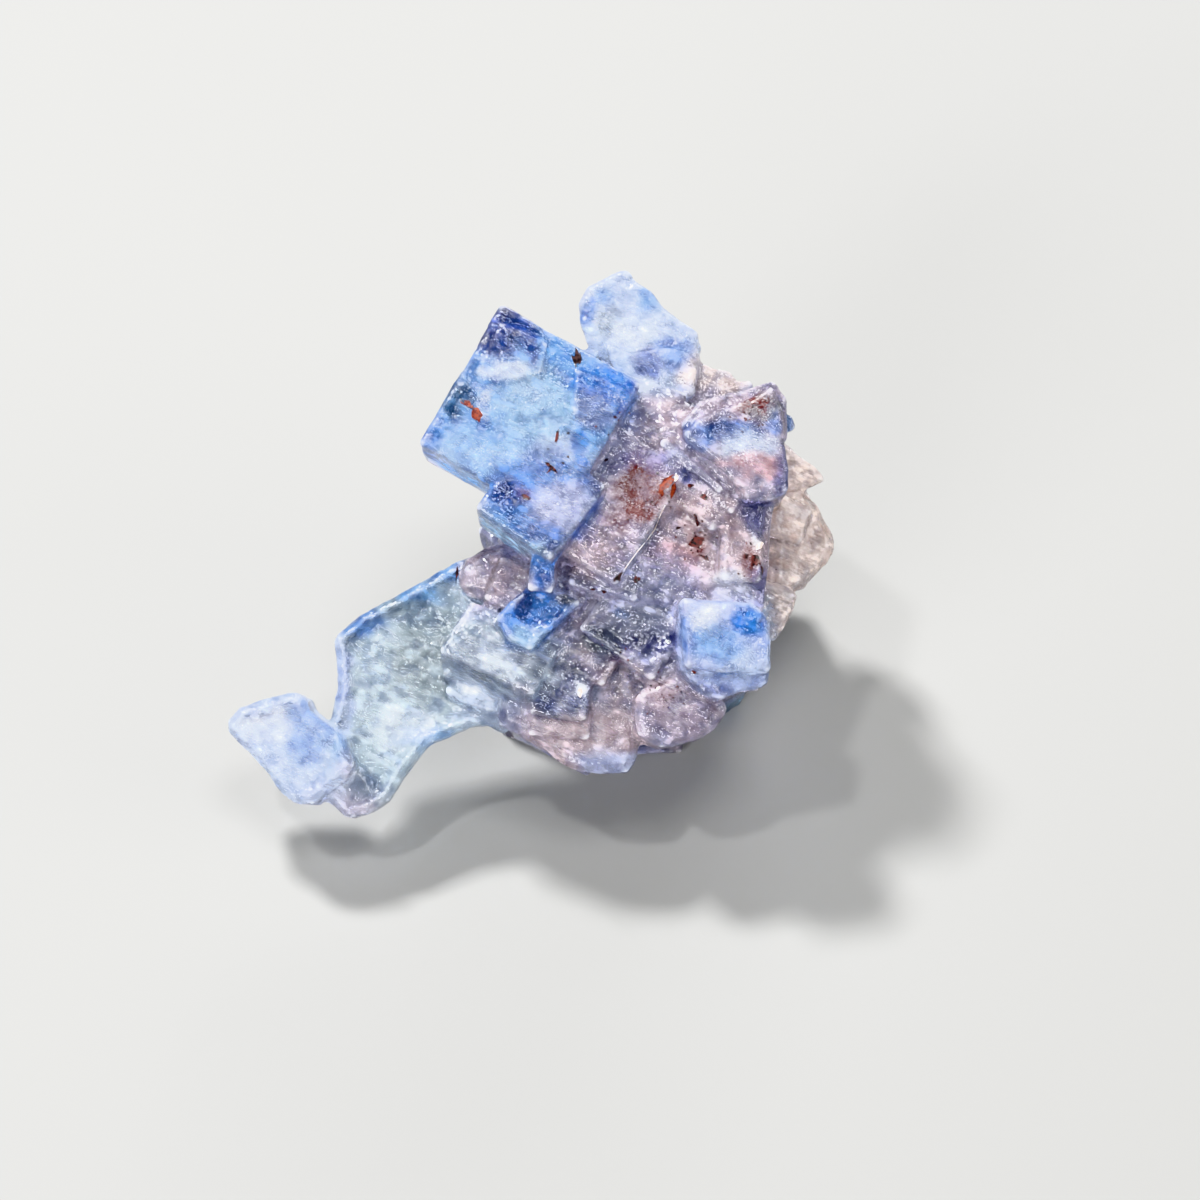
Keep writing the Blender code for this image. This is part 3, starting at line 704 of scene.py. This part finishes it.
def flake(body, spot, reach, turn, seed):
    """A thin ragged flake that lies in the face, half of it sunk."""
    place, normal = on_face(body, spot)
    if place is None:
        return []
    deselect()
    bpy.ops.mesh.primitive_circle_add(vertices=FLAKE_SIDES, radius=1, fill_type="NGON")
    obj = bpy.context.object
    bpy.ops.object.mode_set(mode="EDIT")
    bpy.ops.mesh.select_all(action="SELECT")
    bpy.ops.transform.vertex_random(offset=FLAKE_RAGGEDNESS, seed=seed)
    bpy.ops.object.mode_set(mode="OBJECT")
    modify(obj, "SOLIDIFY", thickness=1.0, offset=0)
    size = Matrix.Diagonal((reach[0] * MM, reach[1] * MM, FLAKE_THICKNESS * MM, 1))
    lie = normal.to_track_quat("Z", "Y").to_matrix().to_4x4()
    spin = Matrix.Rotation(math.radians(turn), 4, "Z")
    obj.matrix_world = Matrix.Translation(place) @ lie @ spin @ size
    return [obj]


def joined(name, pieces, material):
    """The pieces as one object at the origin, with this material."""
    deselect()
    for piece in pieces:
        piece.select_set(True)
    bpy.context.view_layer.objects.active = pieces[0]
    bpy.ops.object.join()
    whole = bpy.context.object
    whole.name = name
    bpy.ops.object.transform_apply(location=True, rotation=True, scale=True)
    whole.data.materials.clear()
    whole.data.materials.append(material)
    return whole


def flakes(body, name, places, material):
    """All the flakes of one kind, as one object."""
    made = []
    for seed, (spot, reach, turn) in enumerate(places):
        made += flake(body, spot, reach, turn, seed)
    return joined(name, made, material)


def scattered_specks():
    """Small flakes thrown at random over the rusty patches."""
    chance = random.Random(SPECK_SEED)
    thrown = []
    for (x, y), reach, count in SPECKS:
        for _ in range(count):
            across = chance.gauss(0, SPECK_SPREAD) * reach
            up = chance.gauss(0, SPECK_SPREAD) * reach
            size = (chance.uniform(*SPECK_REACH), chance.uniform(*SPECK_REACH))
            thrown.append(((x + across, y + up), size, chance.uniform(0, 180)))
    return thrown


def edge_glint_line(body, material):
    """A thin pale ridge that follows the surface along the mauve cube's edge: a painted highlight."""
    curve = bpy.data.curves.new("edge_glint_line", "CURVE")
    curve.dimensions = "3D"
    curve.bevel_depth = EDGE_GLINT_RADIUS * MM
    curve.bevel_resolution = 1
    curve.use_fill_caps = True
    route = []
    for start, end in zip(EDGE_GLINT_LINE, EDGE_GLINT_LINE[1:]):
        for step in range(EDGE_GLINT_STEPS):
            share = step / EDGE_GLINT_STEPS
            spot = tuple(a + (b - a) * share for a, b in zip(start, end))
            place, _ = on_face(body, spot)
            if place is not None:
                route.append(place)
    spline = curve.splines.new("POLY")
    spline.points.add(len(route) - 1)
    for index, (point, place) in enumerate(zip(spline.points, route)):
        point.co = (*place, 1)
        point.radius = 0.5 + 0.5 * math.sin(math.pi * (index + 0.5) / len(route))
    obj = bpy.data.objects.new("edge_glint_line", curve)
    bpy.context.scene.collection.objects.link(obj)
    choose(obj)
    bpy.ops.object.convert(target="MESH")
    return joined("edge_glint_line", [bpy.context.object], material)


# Materials

# The patterns inside and on the crystals: scale per mm, detail and roughness
WISPS = (1.3, 3.0, 0.55)
STREAKS = (1.0, 3.0, 0.6)
RIPPLES = (1.5, 2.0, 0.5)
GRAIN = (9.0, 3.0, 0.7)
PITS = (15.0, 2.0, 0.6)
DRIFTS = (1.1, 3.0, 0.6)
STREAK_STRETCH = (2.2, 0.35, 1.0)

# Between which values of its pattern each marking comes up
VEIL_AND_SHEEN_RANGE = (0.52, 0.66)
DARK_RANGE = (0.52, 0.34)
HOLLOW_SHADE_RANGE = (0.52, 0.40)
CREST_SHEEN_RANGE = (0.54, 0.66)
STAIN_RANGE = (0.42, 0.58)
DRIFT_RANGE = (0.42, 0.58)
GLINT_RANGE = (0.56, 0.66)
SATIN_RANGE = (0.44, 0.56)
FLECK_RANGE = (0.4, 0.62)

# Veil lines run where the wisps are at this level, and fade out over this range
LINE_LEVEL = 0.56
LINE_RANGE = (0.012, 0.0)

# Fluorite's refraction, what thick crystal does to light, and how deep the bumps on its faces are
REFRACTION = 1.434
ABSORPTION_TINT = (0.76, 0.72, 0.78, 1)
ABSORPTION_DENSITY = 90.0
BUMP_DEPTH = 0.06 * MM

# The flecks' mottling per mm, their sheen and their gloss
FLECK_SCALE = 6.0
FLECK_SHEEN = 0.3
FLECK_GLOSS = 0.1


class Value:
    """One output in a material's node tree. Sums on it add Math nodes."""

    def __init__(self, sketch, socket):
        self.sketch = sketch
        self.socket = socket

    def math(self, operation, *inputs):
        return self.sketch.add("ShaderNodeMath", {"operation": operation}, dict(enumerate(inputs)))

    def __add__(self, other):
        return self.math("ADD", self, other)

    def __radd__(self, other):
        return self.math("ADD", other, self)

    def __sub__(self, other):
        return self.math("SUBTRACT", self, other)

    def __rsub__(self, other):
        return self.math("SUBTRACT", other, self)

    def __mul__(self, other):
        return self.math("MULTIPLY", self, other)

    def __rmul__(self, other):
        return self.math("MULTIPLY", other, self)


class Sketch:
    """A material's node tree, drawn one node at a time."""

    def __init__(self, name):
        self.material = bpy.data.materials.new(name)
        self.material.use_nodes = True
        self.tree = self.material.node_tree
        self.tree.nodes.clear()

    def add(self, kind, settings=None, inputs=None, output=0):
        """A node of this kind, with its settings and then its sockets set: the output asked for."""
        node = self.tree.nodes.new(kind)
        for name, value in (settings or {}).items():
            setattr(node, name, value)
        for name, value in (inputs or {}).items():
            if isinstance(value, Value):
                self.tree.links.new(value.socket, node.inputs[name])
            else:
                node.inputs[name].default_value = value
        return Value(self, node.outputs[output]) if node.outputs else node

    def mix(self, amount, first, second, blend="MIX"):
        """Two colours mixed: sockets 6 and 7 are the colours, and output 2 the result."""
        return self.add(
            "ShaderNodeMix",
            {"data_type": "RGBA", "blend_type": blend},
            {0: amount, 6: first, 7: second},
            output=2,
        )

    def ramp(self, value, start, end):
        """0 below start, 1 above end, and smooth between."""
        return self.add(
            "ShaderNodeMapRange",
            {"interpolation_type": "SMOOTHSTEP"},
            {"Value": value, "From Min": start, "From Max": end},
        )

    def noise(self, place, scale, detail=3.0, roughness=0.5):
        return self.add(
            "ShaderNodeTexNoise",
            None,
            {"Vector": place, "Scale": scale, "Detail": detail, "Roughness": roughness},
        )

    def place(self, turn=0, stretch=(1, 1, 1)):
        """Object coordinates in mm, as seen on the display side, turned in its plane and stretched."""
        spot = self.add("ShaderNodeTexCoord", None, None, "Object")
        return self.add(
            "ShaderNodeMapping",
            {"vector_type": "TEXTURE"},
            {
                "Vector": spot,
                "Location": DISPLAY_CENTRE,
                "Rotation": (math.radians(90 - VIEW_ELEVATION), 0, math.radians(turn)),
                "Scale": tuple(MM * s for s in stretch),
            },
        )

    def finish(self, surface, volume=None):
        """The material with this surface, and with this inside it."""
        inputs = {"Surface": surface}
        if volume:
            inputs["Volume"] = volume
        self.add("ShaderNodeOutputMaterial", None, inputs)
        return self.material


def fluorite():
    """Clear and milky crystal mixed by the zones, with veils, ripples, rust stains and frost. Painted
    light on it: shade in the ripples' hollows, sheen on their tops and on the veils, glints on the
    frost and highlights along the edges.
    """
    sketch = Sketch("fluorite")
    place = sketch.place()
    tint = sketch.add("ShaderNodeAttribute", {"attribute_name": "tint"}, None, "Color")
    milk = sketch.add("ShaderNodeAttribute", {"attribute_name": "tint"}, None, "Alpha")
    rust = sketch.add("ShaderNodeAttribute", {"attribute_name": "rust"}, None, "Fac")
    # Where the painted highlight along the edges goes
    edge = sketch.add("ShaderNodeAttribute", {"attribute_name": "edges"}, None, "Fac")
    frost = sketch.add("ShaderNodeAttribute", {"attribute_name": "frost"}, None, "Fac")

    wisps = sketch.noise(place, *WISPS)
    streaks = sketch.noise(sketch.place(GROWTH_TURN, STREAK_STRETCH), *STREAKS)
    ripples = sketch.noise(place, *RIPPLES)
    grain = sketch.noise(place, *GRAIN)
    pits = sketch.noise(place, *PITS)
    drifts = sketch.ramp(sketch.noise(place, *DRIFTS), *DRIFT_RANGE)

    # Milky veils, which also carry a painted sheen where the colour is lightened
    veil_and_sheen = sketch.ramp(wisps * 0.6 + streaks * 0.4, *VEIL_AND_SHEEN_RANGE)
    dark = sketch.ramp(wisps, *DARK_RANGE)
    hollows = sketch.ramp(ripples, *HOLLOW_SHADE_RANGE)
    # Painted sheen on the tops of the ripples
    crest_sheen = sketch.ramp(ripples, *CREST_SHEEN_RANGE)
    lines = sketch.ramp((wisps - LINE_LEVEL).math("ABSOLUTE"), *LINE_RANGE)
    stain = rust * (0.6 + 0.5 * sketch.ramp(wisps * 0.5 + grain * 0.5, *STAIN_RANGE))
    # Painted glints: specks on the frosted pits, turned towards WHITE and made milky
    painted_glints = sketch.ramp(pits, *GLINT_RANGE) * frost * (0.25 + 0.75 * drifts) * (1.0 - 0.7 * stain)

    colour = sketch.mix(dark * 0.6, tint, tint, "MULTIPLY")
    # Painted shade: the hollows of the ripples, which the bump also sinks, are darkened towards
    # blue-grey
    colour = sketch.mix(hollows * (0.7 - 0.65 * milk), colour, (*HOLLOW_SHADE, 1), "MULTIPLY")
    # Painted sheen: the veils and the tops of the ripples are lightened towards WHITE
    colour = sketch.mix(veil_and_sheen * 0.35 + crest_sheen * 0.2, colour, (*WHITE, 1), "DODGE")
    colour = sketch.mix(lines * 0.25, colour, (*WHITE, 1))
    colour = sketch.mix(stain, colour, (*RUST, 1))
    # Painted highlights along the edges, and the painted glints: the colour is turned towards WHITE
    colour = sketch.mix(edge * 0.8 + painted_glints * 0.8, colour, (*WHITE, 1))

    satin = sketch.ramp(streaks, *SATIN_RANGE)
    roughness = 0.07 + 0.1 * frost + 0.18 * satin
    height = pits * (0.1 + 0.9 * frost) + streaks * 1.2 + ripples * 3.6 + lines * 0.2
    bump = sketch.add(
        "ShaderNodeBump", None, {"Strength": 1.0, "Distance": BUMP_DEPTH, "Height": height}
    )
    glass = sketch.add(
        "ShaderNodeBsdfPrincipled",
        None,
        {
            "Base Color": colour,
            "Roughness": roughness,
            "IOR": REFRACTION,
            "Transmission Weight": 1.0,
            "Normal": bump,
        },
    )
    milky = sketch.add(
        "ShaderNodeBsdfPrincipled",
        None,
        {"Base Color": colour, "Roughness": roughness, "IOR": REFRACTION, "Normal": bump},
    )
    # The painted edge highlights and glints are also made milky, so they read as opaque and pale
    cloud = 0.06 + milk * (0.45 + 0.55 * veil_and_sheen) + stain * 0.6 + painted_glints * 0.5 + edge * 0.45
    surface = sketch.add("ShaderNodeMixShader", None, {0: cloud, 1: glass, 2: milky})
    absorption = sketch.add(
        "ShaderNodeVolumeAbsorption",
        None,
        {"Color": ABSORPTION_TINT, "Density": ABSORPTION_DENSITY},
    )
    return sketch.finish(surface, absorption)


def mineral_fleck(name, light, dark):
    """An opaque piece, mottled between two colours: an inclusion, or a pale piece of painted light."""
    sketch = Sketch(name)
    grain = sketch.ramp(sketch.noise(sketch.place(), FLECK_SCALE), *FLECK_RANGE)
    shader = sketch.add(
        "ShaderNodeBsdfPrincipled",
        None,
        {
            "Base Color": sketch.mix(grain, (*dark, 1), (*light, 1)),
            "Roughness": 0.25 + 0.3 * grain,
            "Coat Weight": FLECK_GLOSS,
            "Specular IOR Level": FLECK_SHEEN,
        },
    )
    return sketch.finish(shader)


def floor_finish():
    """Plain and matt."""
    sketch = Sketch("pale_floor")
    shader = sketch.add(
        "ShaderNodeBsdfPrincipled", None, {"Base Color": FLOOR_TINT, "Roughness": FLOOR_ROUGHNESS}
    )
    return sketch.finish(shader)


# Stage

FLOOR_WIDTH = 1.2
FLOOR_TINT = (0.17, 0.17, 0.165, 1)
FLOOR_ROUGHNESS = 0.8

# Each lamp's place and width, in metres, and its power, in watts
LAMPS = [
    ("window", (-0.14, 0.16, 0.30), 0.05, 3.8),
    ("glint", (-0.12, -0.03, 0.34), 0.022, 0.7),
    ("overhead", (0.06, -0.06, 0.4), 0.12, 1.0),
    ("fill", (-0.16, -0.27, 0.12), 0.16, 1.7),
    ("side", (0.26, -0.08, 0.14), 0.18, 0.8),
    ("rear", (0.1, 0.3, 0.1), 0.18, 1.1),
]

# The even light from all round
AMBIENT_TINT = (0.68, 0.7, 0.75, 1)
AMBIENT_STRENGTH = 0.2

# How near and how far the camera sees, in metres
NEAREST = 0.001
FARTHEST = 5


def floor():
    """The plane that the cluster rests on."""
    bpy.ops.mesh.primitive_plane_add(size=FLOOR_WIDTH, location=(0, 0, 0))
    plane = bpy.context.object
    plane.name = "floor"
    plane.data.materials.append(floor_finish())


def lamp(name, place, size, power):
    """A square lamp that points at the cluster."""
    light = bpy.data.lights.new(name, "AREA")
    light.size = size
    light.energy = power
    obj = bpy.data.objects.new(name, light)
    bpy.context.scene.collection.objects.link(obj)
    obj.location = place
    obj.rotation_euler = (Vector(place) - DISPLAY_CENTRE).to_track_quat("Z", "Y").to_euler()


def studio():
    """The lamps, an even light from all round, and the picture's tone."""
    for name, place, size, power in LAMPS:
        lamp(name, place, size, power)
    world = bpy.data.worlds.new("studio")
    world.use_nodes = True
    background = world.node_tree.nodes["Background"]
    background.inputs["Color"].default_value = AMBIENT_TINT
    background.inputs["Strength"].default_value = AMBIENT_STRENGTH
    bpy.context.scene.world = world
    bpy.context.scene.view_settings.view_transform = "Khronos PBR Neutral"


def camera():
    """Looks straight at the display side."""
    data = bpy.data.cameras.new("camera")
    data.lens = data.sensor_width * VIEW_DISTANCE / PICTURE_WIDTH
    data.clip_start = NEAREST
    data.clip_end = FARTHEST
    obj = bpy.data.objects.new("camera", data)
    bpy.context.scene.collection.objects.link(obj)
    obj.matrix_world = display_matrix() @ Matrix.Translation((0, 0, VIEW_DISTANCE))
    bpy.context.scene.camera = obj


camera()
studio()
floor()
body = etched_crystals()
paint(body)
body.data.materials.clear()
body.data.materials.append(fluorite())
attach(body, "root")
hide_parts("crystal_cluster")

orange_rust = mineral_fleck("orange_rust", ORANGE, RED_BROWN)
red_rust = mineral_fleck("rust", RED_BROWN, BLACK_BROWN)
dark_rust = mineral_fleck("dark_rust", DARK_BROWN, BLACK_BROWN)
spar_and_glint_white = mineral_fleck("spar_and_glint_white", WHITE, PINK_CREAM)
edge_glint_white = mineral_fleck("edge_glint_white", WHITE, PINK_CREAM)

inclusions_and_glints = [
    flakes(body, "orange_flakes", ORANGE_FLAKES, orange_rust),
    flakes(body, "rust_flakes", RUST_FLAKES + scattered_specks(), red_rust),
    flakes(body, "dark_flakes", DARK_FLAKES, dark_rust),
    flakes(body, "spar_crumbs_and_glints", SPAR_CRUMBS_AND_GLINTS, spar_and_glint_white),
    # The painted highlight along the mauve cube's edge
    edge_glint_line(body, edge_glint_white),
]
for piece in inclusions_and_glints:
    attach(piece, "root")
